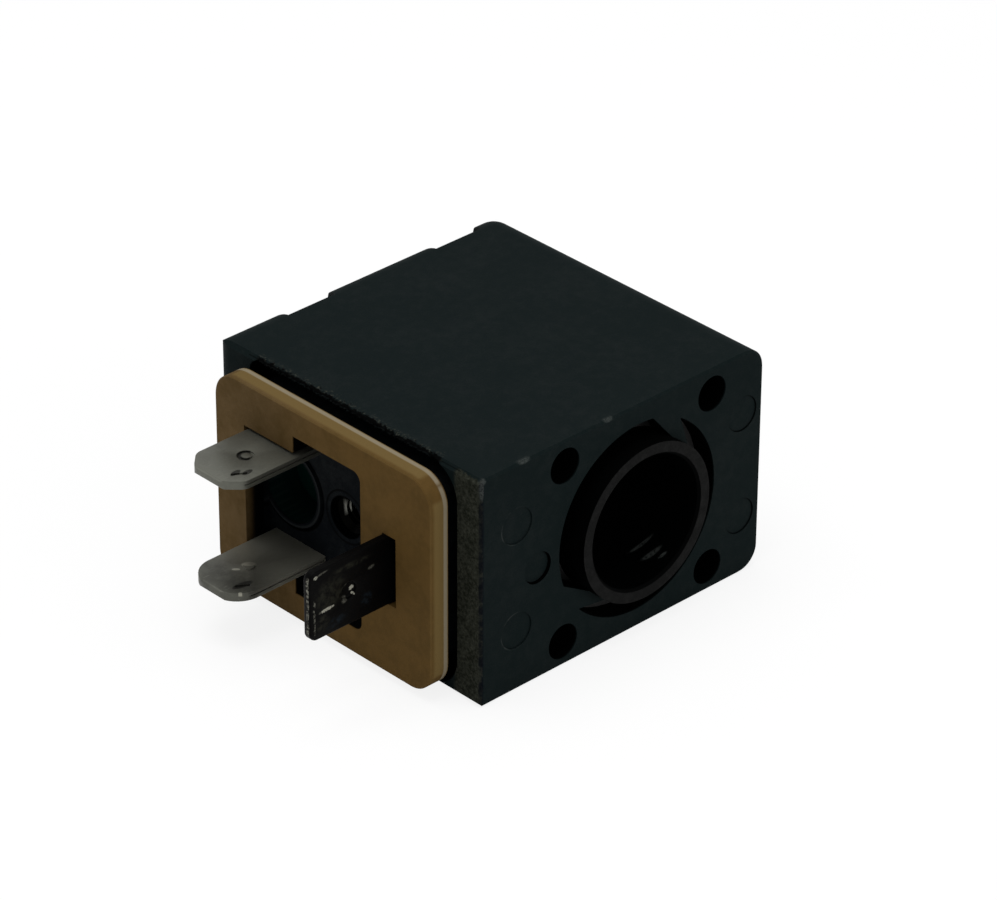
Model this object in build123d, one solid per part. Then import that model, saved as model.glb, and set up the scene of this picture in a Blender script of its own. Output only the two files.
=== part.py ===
from build123d import *
import math
import os

# Encapsulated solenoid coil with a bore for the valve tube and three blade terminals under a flat gasket.
# Millimetres. The origin is where the bore axis meets the valve face.
# +Y runs into the body along the bore, -X points out of the terminal side, +Z is up.

# Moulded body
body_height = 22.0
body_depth = 33.2
bore_to_terminal_face = 18.15
bore_to_back_face = 14.85
far_edge_radius = 2.2
terminal_edge_bevel = 0.4
valve_edge_chamfer = 0.2

# Four screws run through the body from the rear face to the valve face
screw_spacing = 17.2
screw_hole_diameter = 3.3
screw_head_recess_diameter = 7.2
screw_head_recess_depth = 2.0

# Bore, bobbin and its collar that stands out of the valve face
bore_diameter = 12.4
bobbin_tube_wall = 1.2
collar_height = 1.15
collar_lead_in = 0.25
flange_over_block = 0.8
flange_thickness = 1.0
finger_inner_half_gap = 3.7
finger_width = 2.4

# Ring groove round the collar and the two webs that bridge it
groove_diameter = 18.3
pole_plate_cover = 2.2
web_root_angles = (28.0, 47.0)
web_rim_angles = (60.0, 82.0)
web_mirror_axis = 140.0
web_overlap = 0.3

# Magnetic circuit: two pole plates staked into one strap, and the earth tab of the front plate
plate_thickness = 2.0
rear_plate_cover = 2.6
tongue_half_width = 5.4
tenon_half_width = 2.8
strap_thickness = 1.6
strap_distance = 11.0
strap_end_margin = 1.3
stake_proud = 0.3
stake_clearance = 0.03
earth_tab_half_width = 2.9
earth_tenon_half_width = 1.4

# Winding, its tape and the two lead wires
winding_diameter = 18.2
tape_thickness = 0.2
tape_start_margin = 1.7
lead_diameter = 0.4
lead_exit_angle = 30.0
lead_run_distance = 11.3
lead_lift = 0.1
lead_sides = 8

# Terminal block, its window recess and the moat of the moulding round it
connector_centre = 16.4
block_near_reach = 11.8
block_far_reach = 11.4
block_height = 17.8
block_corner_radius = 1.5
block_depth = 5.2
block_rib_proud = 0.6
block_rib_start = 3.6
block_rib_width = 0.8
recess_depth = 1.0
recess_margin = 0.3
moat_near_margin = 1.85
moat_far_margin = 0.6
moat_height = 21.6
moat_near_radius = 3.2
moat_far_radius = 1.3
moat_depth = 2.5
terminal_seat_proud = 0.71

# Blade terminals
blade_width = 6.3
blade_thickness = 0.8
blade_pitch = 11.0
blade_row_offset = 6.18
blade_reach = 7.15
blade_tip_chamfer = 1.5
blade_tip_bevel = 0.2
blade_seam_width = 0.12
blade_seam_depth = 0.15
stamp_length = 1.4
stamp_width = 0.3
stamp_depth = 0.15
stamp_angle = -32.0
stamp_from_tip = 1.95
stamp_from_edge = 1.3
boss_diameter = 1.5
boss_inner_diameter = 1.0
boss_depth = 0.12
boss_from_tip = 4.3
shoulder_extra_width = 1.2
shoulder_length = 0.8
tail_width = 2.5
tail_length = 1.7
earth_width = 6.6
earth_offset = 7.93
earth_extra_reach = 1.6
earth_corner_radius = 0.8
earth_dimple_diameter = 1.6
earth_dimple_depth = 0.3
earth_dimple_from_tip = 4.3
earth_bend_radius = 0.5
earth_foot_distance = 11.8
earth_foot_end = 1.0

# Solder joints on the blade tails
solder_radius = 0.95
solder_height = 0.7
solder_taper = 30.0
solder_sides = 10

# Threaded insert for the plug's fixing screw
insert_offset = 0.3
insert_across_corners = 5.0
insert_length = 4.9
insert_thread_bore = 2.5
insert_lead_in = 0.5
insert_cover = 0.7
insert_mouth_diameter = 3.9
insert_sides = 6
insert_boss_wall = 1.1

# Round well between the power blades
well_offset = 7.2
well_diameter = 7.6
well_lip_wall = 0.4
well_lip_proud = 0.15
well_line_width = 0.3
well_line_depth = 0.5
well_floor = 0.8

# Flat gasket on the blades
gasket_width = 26.8
gasket_height = 20.5
gasket_thickness = 2.0
gasket_corner_radius = 2.6
gasket_edge_chamfer = 0.1
gasket_grip = 0.05
window_near_side = 4.85
window_half_height = 7.75
window_step = 0.5
window_corner_radius = 0.9
window_far_margin = 0.4
window_blade_margin = 0.25
earth_slot_margin = 0.8

# Marks that the mould leaves on the valve face
ejector_diameter = 3.4
ejector_depth = 0.12
ejector_half_spacing = 5.1
ejector_terminal_side = 14.0
ejector_back_side = 12.4
gate_mark_diameter = 3.0
gate_mark_depth = 0.3
gate_mark_distance = 11.6

tube_radius = bore_diameter / 2 + bobbin_tube_wall
flange_diameter = block_height + 2 * flange_over_block
front_plate_start = pole_plate_cover
front_plate_end = front_plate_start + plate_thickness
rear_plate_end = body_depth - rear_plate_cover
rear_plate_start = rear_plate_end - plate_thickness
winding_start = front_plate_end + flange_thickness
winding_end = rear_plate_start - flange_thickness
tape_radius = winding_diameter / 2 + tape_thickness
block_near = connector_centre - block_near_reach
block_far = connector_centre + block_far_reach
block_front = -(bore_to_terminal_face + terminal_seat_proud)
block_back = block_front + block_depth
recess_floor = block_front + recess_depth
gasket_front = block_front - gasket_thickness
blade_row = connector_centre + blade_row_offset
blade_near_edge = blade_row - blade_width / 2
blade_far_edge = blade_row + blade_width / 2
blade_tip = gasket_front - blade_reach
shoulder_end = block_back + shoulder_length
tail_end = shoulder_end + tail_length
tail_middle = (shoulder_end + tail_end) / 2
earth_row = connector_centre - earth_offset
earth_tip = blade_tip - earth_extra_reach
insert_row = connector_centre + insert_offset
insert_start = recess_floor + insert_cover
insert_end = insert_start + insert_length
well_row = connector_centre + well_offset
well_end = block_back - well_floor


def along_bore(profile, start, end):
    """Extrude a profile drawn in X and Z between two distances along the bore."""
    plane = Plane(origin=(0, end, 0), x_dir=(1, 0, 0), z_dir=(0, -1, 0))
    return extrude(plane * profile, amount=end - start)


def along_plug(profile, start, end):
    """Extrude a profile drawn in Y and Z between two distances along X."""
    plane = Plane(origin=(start, 0, 0), x_dir=(0, 1, 0), z_dir=(1, 0, 0))
    return extrude(plane * profile, amount=end - start)


def span(low_u, high_u, low_v, high_v):
    """Rectangle between two corners."""
    centre = Pos((low_u + high_u) / 2, (low_v + high_v) / 2)
    return centre * Rectangle(high_u - low_u, high_v - low_v)


def upper_and_lower(solid):
    """A solid and its mirror image below the middle height."""
    return [solid, mirror(solid, about=Plane.XY)]


def write(solids, name):
    """Write one solid, or a group of separate ones, under the name of its node."""
    group = solids if isinstance(solids, list) else [solids]
    export_step(group[0] if len(group) == 1 else Compound(group), f"parts/{name}.step")


def screw_places():
    """Centres of the four screw holes, seen along the bore."""
    half = screw_spacing / 2
    return [(x, z) for x in (-half, half) for z in (-half, half)]


def make_bobbin():
    """Tube with a flange at each pole plate and fingers that carry the terminal block."""
    tube = along_bore(Circle(tube_radius), -collar_height, body_depth)
    fingers = []
    for start in (front_plate_end, winding_end):
        tube += along_bore(Circle(flange_diameter / 2), start, start + flange_thickness)
        finger_outer = finger_inner_half_gap + finger_width
        arm = span(block_back, -tube_radius, finger_inner_half_gap, finger_outer)
        fingers += upper_and_lower(along_bore(arm, start, start + flange_thickness))
    for finger in fingers:
        tube += finger
    tube -= along_bore(Circle(bore_diameter / 2), -collar_height, body_depth)
    mouth = tube.edges().filter_by(GeomType.CIRCLE).group_by(Axis.Y)[0].sort_by(SortBy.RADIUS)[0]
    return chamfer(mouth, collar_lead_in)


def make_winding():
    """Copper winding that fills the bobbin between its flanges."""
    ring = Circle(winding_diameter / 2) - Circle(tube_radius)
    return along_bore(ring, winding_start, winding_end)


def make_tape():
    """Insulating tape round the winding, which leaves room at one end for the leads."""
    ring = Circle(tape_radius) - Circle(winding_diameter / 2)
    return along_bore(ring, winding_start + tape_start_margin, winding_end)


def plate_profile():
    """Eye round the bobbin tube with a tongue and tenon towards the strap."""
    eye = Circle(flange_diameter / 2)
    eye += span(0, strap_distance, -tongue_half_width, tongue_half_width)
    tenon_end = strap_distance + strap_thickness + stake_proud
    eye += span(0, tenon_end, -tenon_half_width, tenon_half_width)
    return eye


def make_front_plate():
    """Pole plate at the valve face, with a second tenon for the earth blade."""
    profile = plate_profile()
    tenon_end = earth_foot_distance + blade_thickness + stake_proud
    profile += span(-earth_foot_distance, 0, -earth_tab_half_width, earth_tab_half_width)
    profile += span(-tenon_end, 0, -earth_tenon_half_width, earth_tenon_half_width)
    profile -= Circle(tube_radius)
    return along_bore(profile, front_plate_start, front_plate_end)


def make_rear_plate():
    """Pole plate at the rear face."""
    return along_bore(plate_profile() - Circle(tube_radius), rear_plate_start, rear_plate_end)


def make_strap():
    """Steel strap that joins the two pole plates behind the winding."""
    start = front_plate_start - strap_end_margin
    end = rear_plate_end + strap_end_margin
    blank = span(start, end, -tongue_half_width, tongue_half_width)
    strap = along_plug(blank, strap_distance, strap_distance + strap_thickness)
    strap = fillet(strap.edges().filter_by(Axis.X), strap_end_margin / 2)
    slot_half = tenon_half_width + stake_clearance
    for low in (front_plate_start, rear_plate_start):
        slot = span(low - stake_clearance, low + plate_thickness + stake_clearance, -slot_half, slot_half)
        strap -= along_plug(slot, strap_distance, strap_distance + strap_thickness)
    return strap


def window_profile(margin):
    """Gasket window: a wide part by the fixing screw and a narrow part that grips the power blades."""
    near = connector_centre - window_near_side - margin
    far = blade_far_edge + window_far_margin + margin
    narrow_half = blade_pitch / 2 + blade_thickness / 2 + window_blade_margin + margin
    wide_half = window_half_height + margin
    step = blade_near_edge + window_step + margin
    window = span(near, step, -wide_half, wide_half)
    window += span(step, far, -narrow_half, narrow_half)
    near_corners = window.vertices().group_by(Axis.X)[0]
    return fillet(near_corners, window_corner_radius)


def block_profile(margin):
    """Outline of the terminal block with square corners, grown by a margin on every side."""
    half_height = block_height / 2 + margin
    return span(block_near - margin, block_far + margin, -half_height, half_height)


def make_block_envelope():
    """Outer shape of the terminal block: a pedestal, a keying rib and the boss behind the insert."""
    outline = block_profile(0)
    block = along_plug(fillet(outline.vertices(), block_corner_radius), block_front, block_back)
    rib_start = block_front + block_rib_start
    block += along_plug(block_profile(block_rib_proud), rib_start, rib_start + block_rib_width)
    boss_half = insert_across_corners / 2 + insert_boss_wall
    boss = span(insert_row - boss_half, insert_row + boss_half, -boss_half, boss_half)
    return block + along_plug(boss, block_back, insert_end + insert_boss_wall)


def make_terminal_block():
    """Carrier of the blades, with a recess under the gasket window, the insert's seat and a round well."""
    block = make_block_envelope()
    block -= along_plug(window_profile(recess_margin), block_front, recess_floor)
    block += make_well_lip()
    block -= make_insert_cut()
    block -= make_well_cut()
    for slot in blade_slots():
        block -= slot
    return block


def make_well_lip():
    """Thin lip round the mouth of the well."""
    outer = Pos(well_row, 0) * Circle(well_diameter / 2)
    return along_plug(outer, recess_floor - well_lip_proud, recess_floor)


def make_insert_cut():
    """Seat of the insert and the opening in front of it."""
    place = Pos(insert_row, 0)
    cut = along_plug(place * insert_profile(), insert_start, insert_end)
    return cut + along_plug(place * Circle(insert_mouth_diameter / 2), recess_floor, insert_start)


def make_well_cut():
    """Round well, and the ring line outside its lip."""
    start = recess_floor - well_lip_proud
    hole = Circle(well_diameter / 2 - well_lip_wall)
    cut = along_plug(Pos(well_row, 0) * hole, start, well_end)
    line = Circle(well_diameter / 2 + well_line_width) - Circle(well_diameter / 2)
    return cut + along_plug(Pos(well_row, 0) * line, recess_floor, recess_floor + well_line_depth)


def blade_slots():
    """Slots of the terminal block, the same section as the blades that fill them."""
    height = blade_pitch / 2
    half = blade_thickness / 2
    power = along_plug(span(blade_near_edge, blade_far_edge, height - half, height + half),
                       block_front, block_back)
    earth = along_plug(span(earth_row - half, earth_row + half, -earth_width / 2, earth_width / 2),
                       block_front, block_back)
    return upper_and_lower(power) + [earth]


def insert_profile():
    """Six-sided outline that keeps the insert from turning in the plastic."""
    return RegularPolygon(insert_across_corners / 2, insert_sides)


def make_insert():
    """Threaded brass insert, moulded into the block with its mouth under a rim of plastic."""
    profile = insert_profile() - Circle(insert_thread_bore / 2)
    insert = along_plug(Pos(insert_row, 0) * profile, insert_start, insert_end)
    mouth = insert.edges().filter_by(GeomType.CIRCLE).group_by(SortBy.RADIUS)[0].sort_by(Axis.X)[0]
    return chamfer(mouth, insert_lead_in)


def blade_outline():
    """Plan of a power blade: chamfered tip, shoulders behind the block and a narrow tail."""
    half = blade_width / 2
    shoulder = half + shoulder_extra_width / 2
    side = [
        (blade_tip, half - blade_tip_chamfer),
        (blade_tip + blade_tip_chamfer, half),
        (block_back, half),
        (block_back, shoulder),
        (shoulder_end, shoulder),
        (shoulder_end, tail_width / 2),
        (tail_end, tail_width / 2),
    ]
    other_side = [(x, -y) for x, y in reversed(side)]
    return Pos(0, blade_row) * make_face(Polyline(*side, *other_side, close=True))


def make_power_blade():
    """Upper power blade, folded from thinner sheet, so that a seam shows along its near edge."""
    low = blade_pitch / 2 - blade_thickness / 2
    top = low + blade_thickness
    blade = extrude(Pos(0, 0, low) * blade_outline(), amount=blade_thickness)
    tip_edges = blade.edges().filter_by(Axis.Y).group_by(Axis.X)[0]
    blade = chamfer(tip_edges, blade_tip_bevel)
    seam_length = recess_floor - blade_tip - blade_tip_chamfer
    seam = Box(seam_length, 2 * blade_seam_depth, blade_seam_width)
    seam_middle = recess_floor - seam_length / 2
    blade -= Pos(seam_middle, blade_near_edge, low + blade_thickness / 2) * seam
    return blade


def stamp_mark(surface):
    """Bar that is stamped into the upper side of a blade, near its tip."""
    bar = Box(stamp_length, stamp_width, 2 * stamp_depth)
    centre = Pos(blade_tip + stamp_from_tip, blade_near_edge + stamp_from_edge, surface)
    return centre * Rot(0, 0, stamp_angle) * bar


def make_upper_blade():
    """Power blade above the well, with a pressed ring and a stamped bar."""
    surface = blade_pitch / 2 + blade_thickness / 2
    ring = Circle(boss_diameter / 2) - Circle(boss_inner_diameter / 2)
    place = Pos(blade_tip + boss_from_tip, blade_row, surface - boss_depth)
    return make_power_blade() - extrude(place * ring, amount=boss_depth) - stamp_mark(surface)


def make_lower_blade():
    """Power blade below the well, with the ring's raised back and a bar on the same upper side."""
    blade = mirror(make_power_blade(), about=Plane.XY)
    surface = -blade_pitch / 2 + blade_thickness / 2
    place = Pos(blade_tip + boss_from_tip, blade_row, surface)
    blade += extrude(place * Circle(boss_inner_diameter / 2), amount=boss_depth)
    return blade - stamp_mark(surface)


def make_earth_blade():
    """Earth blade: flat upright tab outside, bent inside to a foot that is staked to the front plate."""
    half = blade_thickness / 2
    outer_x = -earth_foot_distance - blade_thickness
    inner_x = -earth_foot_distance
    corners = [
        (earth_tip, earth_row - half),
        (outer_x, earth_row - half),
        (outer_x, earth_foot_end),
        (inner_x, earth_foot_end),
        (inner_x, earth_row + half),
        (earth_tip, earth_row + half),
    ]
    section = make_face(Polyline(*corners, close=True))
    blade = extrude(Pos(0, 0, -earth_width / 2) * section, amount=earth_width)
    upright = blade.edges().filter_by(Axis.Z)
    inside = upright.sort_by_distance((outer_x, earth_row - half, 0))[0]
    blade = fillet(inside, earth_bend_radius)
    outside = blade.edges().filter_by(Axis.Z).sort_by_distance((inner_x, earth_row + half, 0))[0]
    blade = fillet(outside, earth_bend_radius + blade_thickness)
    tip_corners = blade.edges().filter_by(Axis.Y).group_by(Axis.X)[0]
    blade = fillet(tip_corners, earth_corner_radius)
    slot_half = earth_tenon_half_width + stake_clearance
    slot = span(front_plate_start - stake_clearance, front_plate_end + stake_clearance, -slot_half, slot_half)
    blade -= along_plug(slot, outer_x, inner_x)
    dimple = Pos(earth_tip + earth_dimple_from_tip, 0) * Circle(earth_dimple_diameter / 2)
    near_side = earth_row - half
    return blade - along_bore(dimple, near_side, near_side + earth_dimple_depth)


def make_upper_lead():
    """Lead wire from the winding along the body and onto the tail of the upper blade."""
    angle = math.radians(lead_exit_angle)
    exit_radius = winding_diameter / 2 + lead_diameter / 2
    exit_y = winding_start + lead_diameter
    tail_top = blade_pitch / 2 + blade_thickness / 2 + lead_diameter / 2 + lead_lift
    start = (-exit_radius * math.cos(angle), exit_y, exit_radius * math.sin(angle))
    turn = (-lead_run_distance, exit_y, blade_pitch / 2)
    rise = (-lead_run_distance, blade_row - tail_width, tail_top)
    end = (tail_middle, blade_row, tail_top)
    path = Polyline(start, turn, rise, end)
    section = Plane(origin=path @ 0, z_dir=path % 0) * RegularPolygon(lead_diameter / 2, lead_sides)
    return sweep(section, path=path, transition=Transition.RIGHT)


def make_solder(lead, tilt):
    """Solder cap on a blade's tail, cast round the end of the lead wire; tilt turns it to the blade."""
    surface = blade_pitch / 2 + blade_thickness / 2
    foot = Pos(0, 0, surface) * RegularPolygon(solder_radius, solder_sides)
    cap = extrude(foot, amount=solder_height, taper=solder_taper)
    return Pos(tail_middle, blade_row, 0) * Rot(tilt, 0, 0) * cap - lead


def make_gasket():
    """Flat gasket with rounded corners, a stepped window and a slot for the earth blade."""
    outline = Pos(connector_centre, 0) * RectangleRounded(gasket_width, gasket_height, gasket_corner_radius)
    gasket = along_plug(outline, gasket_front, block_front)
    rim = gasket.faces().sort_by(Axis.X)[0].edges() + gasket.faces().sort_by(Axis.X)[-1].edges()
    gasket = chamfer(rim, gasket_edge_chamfer)
    gasket -= along_plug(window_profile(0), gasket_front, block_front)
    slot_half = earth_width / 2 + gasket_grip
    near = earth_row - blade_thickness / 2 - earth_slot_margin
    far = earth_row + blade_thickness / 2 + gasket_grip
    return gasket - along_plug(span(near, far, -slot_half, slot_half), gasket_front, block_front)


def make_edge_bevel():
    """Prism that takes the corner off the upper long edge of the terminal face."""
    side = -bore_to_terminal_face
    top = body_height / 2
    size = terminal_edge_bevel
    corners = [(side - size, top - 2 * size), (side + 2 * size, top + size), (side - size, top + size)]
    return along_bore(make_face(Polyline(*corners, close=True)), 0, body_depth)


def make_body_block():
    """Outer block of the moulding: far edges well rounded, the valve face's edges barely broken."""
    length = bore_to_terminal_face + bore_to_back_face
    middle = (bore_to_back_face - bore_to_terminal_face) / 2
    block = Pos(middle, body_depth / 2, 0) * Box(length, body_depth, body_height)
    block = fillet(block.edges().filter_by(Axis.Y).group_by(Axis.X)[-1], far_edge_radius)
    block = fillet(block.faces().sort_by(Axis.Y)[-1].edges(), far_edge_radius)
    block = chamfer(block.faces().sort_by(Axis.Y)[0].edges(), valve_edge_chamfer)
    return block - upper_and_lower(make_edge_bevel())


def polar(radius, angle):
    """Point at a radius and an angle in degrees."""
    turn = math.radians(angle)
    return (radius * math.cos(turn), radius * math.sin(turn))


def make_web(root_angles, rim_angles):
    """Slanted web that leaves the collar along its tangent and ends on the groove's outer wall."""
    root = tube_radius - web_overlap
    rim = groove_diameter / 2 + web_overlap
    corners = [
        polar(root, root_angles[0]),
        polar(rim, rim_angles[0]),
        polar(rim, rim_angles[1]),
        polar(root, root_angles[1]),
    ]
    return make_face(Polyline(*corners, close=True))


def make_groove():
    """Ring groove round the collar, left open except at the two webs."""
    groove = Circle(groove_diameter / 2) - Circle(tube_radius)
    groove -= make_web(web_root_angles, web_rim_angles)
    mirrored_root = [2 * web_mirror_axis - angle for angle in reversed(web_root_angles)]
    mirrored_rim = [2 * web_mirror_axis - angle for angle in reversed(web_rim_angles)]
    groove -= make_web(mirrored_root, mirrored_rim)
    return along_bore(groove, 0, front_plate_start)


def make_moat():
    """Sunk margin round the terminal block, with wide corners at the valve face and tight ones behind."""
    near = block_near - moat_near_margin
    far = block_far + moat_far_margin
    outline = span(near, far, -moat_height / 2, moat_height / 2)
    outline = fillet(outline.vertices().group_by(Axis.X)[0], moat_near_radius)
    outline = fillet(outline.vertices().sort_by(Axis.X)[-2:], moat_far_radius)
    return along_plug(outline, -bore_to_terminal_face, moat_depth - bore_to_terminal_face)


def make_housing(inner_pieces):
    """Overmoulding: the outer block less all that it is moulded round, with its holes and recesses."""
    body = make_body_block()
    body -= along_bore(Circle(tube_radius), 0, body_depth)
    body -= make_groove()
    for x, z in screw_places():
        body -= along_bore(Pos(x, z) * Circle(screw_hole_diameter / 2), 0, body_depth)
        recess = Pos(x, z) * Circle(screw_head_recess_diameter / 2)
        body -= along_bore(recess, body_depth - screw_head_recess_depth, body_depth)
    body -= make_moat()
    for x in (-ejector_terminal_side, ejector_back_side):
        for z in (-ejector_half_spacing, ejector_half_spacing):
            body -= along_bore(Pos(x, z) * Circle(ejector_diameter / 2), 0, ejector_depth)
    body -= along_bore(Pos(-gate_mark_distance, 0) * Circle(gate_mark_diameter / 2), 0, gate_mark_depth)
    for piece in inner_pieces:
        body -= piece
    return body


def main():
    """Build every piece and write it as its own node."""
    os.makedirs("parts", exist_ok=True)
    bobbin = make_bobbin()
    winding = make_winding()
    tape = make_tape()
    front_plate = make_front_plate()
    rear_plate = make_rear_plate()
    strap = make_strap()
    block = make_terminal_block()
    insert = make_insert()
    upper_blade = make_upper_blade()
    lower_blade = make_lower_blade()
    earth_blade = make_earth_blade()
    leads = upper_and_lower(make_upper_lead())
    solder = [make_solder(leads[0], 0), make_solder(leads[1], 180)]
    inner = [bobbin, winding, tape, front_plate, rear_plate, strap, make_block_envelope(),
             upper_blade, lower_blade, earth_blade] + leads + solder
    write(make_housing(inner), "housing")
    write(bobbin, "bobbin")
    write(winding, "winding")
    write(tape, "insulation_tape")
    write(front_plate, "front_pole_plate")
    write(rear_plate, "rear_pole_plate")
    write(strap, "yoke_strap")
    write(block, "terminal_block")
    write(insert, "threaded_insert")
    write(upper_blade, "upper_power_blade")
    write(lower_blade, "lower_power_blade")
    write(earth_blade, "earth_blade")
    write(leads[0], "start_lead")
    write(leads[1], "finish_lead")
    write(solder, "solder_joints")
    write(make_gasket(), "gasket")


main()
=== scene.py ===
import logging
import math
from dataclasses import dataclass, field
from enum import Enum
from typing import Any, Callable, Optional, Sequence, Union

import bmesh
import bpy
from bpy.types import ID, Material, Mesh, NodeSocket, NodeTree, Object
from mathutils import Matrix, Vector


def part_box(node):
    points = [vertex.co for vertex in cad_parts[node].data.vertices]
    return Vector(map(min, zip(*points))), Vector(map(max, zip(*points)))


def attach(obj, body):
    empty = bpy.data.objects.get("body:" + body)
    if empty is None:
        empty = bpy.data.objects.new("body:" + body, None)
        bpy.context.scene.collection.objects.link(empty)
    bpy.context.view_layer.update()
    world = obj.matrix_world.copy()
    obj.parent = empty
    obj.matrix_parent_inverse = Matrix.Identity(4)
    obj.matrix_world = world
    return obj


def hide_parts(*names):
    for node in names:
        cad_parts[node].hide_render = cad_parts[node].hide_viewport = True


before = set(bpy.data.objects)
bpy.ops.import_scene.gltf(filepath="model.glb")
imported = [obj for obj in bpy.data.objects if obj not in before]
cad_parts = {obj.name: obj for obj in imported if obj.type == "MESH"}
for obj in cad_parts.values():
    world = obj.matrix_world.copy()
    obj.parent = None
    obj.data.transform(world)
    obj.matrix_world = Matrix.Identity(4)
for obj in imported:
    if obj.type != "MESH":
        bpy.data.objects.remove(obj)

MM = 0.001
MERGE_DISTANCE = 0.002
CUT_DISTANCE = 0.001
FLAT_ANGLE = 0.6
EDGE_ANGLE = 32.0
BEVEL_STRIPS = 3
WHITE = (1.0, 1.0, 1.0)
log = logging.getLogger("coil")

Number = Union[int, float]
Pair = tuple[float, float]
Triple = tuple[float, float, float]
Centre = Sequence[Optional[float]]
Strokes = tuple[tuple[float, float, float, float, float], ...]
Plane = tuple[Vector, Vector]
Layer = tuple[Any, Any]


def maths(operation: str, reflected: bool = False) -> Callable[..., "Wire"]:
    """Make a method of Wire that adds one Math node.

    Args:
        operation: The node's operation.
        reflected: Whether the wire comes after the other value.

    Returns:
        The method.
    """

    def method(self: "Wire", *others: Any) -> "Wire":
        """Add the Math node with its inputs in order."""
        values = (*others, self) if reflected else (self, *others)
        return self.tree.add("ShaderNodeMath", {"operation": operation}, dict(enumerate(values)))

    return method


class Wire:
    """An output socket in a node tree, with Python's arithmetic adding Math nodes.

    The larger or smaller of two values is most or least, and angle is the angle of the point
    whose height is the wire and whose distance along is the other value.
    """

    def __init__(self, tree: "Tree", socket: Optional[NodeSocket]) -> None:
        """Keep an output, or None for a node without outputs, and its tree."""
        self.tree = tree
        self.socket = socket

    __add__ = maths("ADD")
    __radd__ = maths("ADD", reflected=True)
    __sub__ = maths("SUBTRACT")
    __rsub__ = maths("SUBTRACT", reflected=True)
    __mul__ = maths("MULTIPLY")
    __rmul__ = maths("MULTIPLY", reflected=True)
    __truediv__ = maths("DIVIDE")
    __pow__ = maths("POWER")
    __abs__ = maths("ABSOLUTE")
    least = maths("MINIMUM")
    most = maths("MAXIMUM")
    angle = maths("ARCTAN2")
    sine = maths("SINE")

    def step(self, low: Number, high: Number) -> "Wire":
        """Rise smoothly from 0 to 1.

        Args:
            low: The value at which the result is 0.
            high: The value at which it is 1; it may be the smaller of the two.

        Returns:
            The eased value.
        """
        if low > high:
            return 1 - self.step(high, low)
        settings = {"interpolation_type": "SMOOTHSTEP", "clamp": True}
        inputs = {"Value": self, "From Min": low, "From Max": high}
        return self.tree.add("ShaderNodeMapRange", settings, inputs)


class Tree:
    """A node tree under construction."""

    def __init__(self, nodes: NodeTree) -> None:
        """Empty the tree of a material, of the world or of a modifier, and keep it."""
        self.nodes, self.links = nodes.nodes, nodes.links
        self.nodes.clear()

    def add(self, kind: str, settings: dict[str, Any], inputs: dict[Any, Any], output: Any = 0) -> Wire:
        """Add a node of any type.

        Args:
            kind: The node's type.
            settings: Its properties, set first.
            inputs: Values or wires by the socket's name or number.
            output: The name or number of the output to return.

        Returns:
            The chosen output.
        """
        node = self.nodes.new(kind)
        for key, value in settings.items():
            setattr(node, key, value)
        for key, value in inputs.items():
            self._feed(node.inputs[key], value)
        return Wire(self, node.outputs[output] if node.outputs else None)

    def _feed(self, socket: NodeSocket, value: Any) -> None:
        """Link a wire to a socket, or set the socket's own value.

        Args:
            socket: The input.
            value: A wire, a number, a vector, a colour or a named shade.
        """
        if isinstance(value, Shade):
            value = value.value
        if isinstance(value, Wire):
            self.links.new(value.socket, socket)
        elif socket.type == "RGBA" and len(value) == 3:
            socket.default_value = (*value, 1.0)
        else:
            socket.default_value = value


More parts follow.
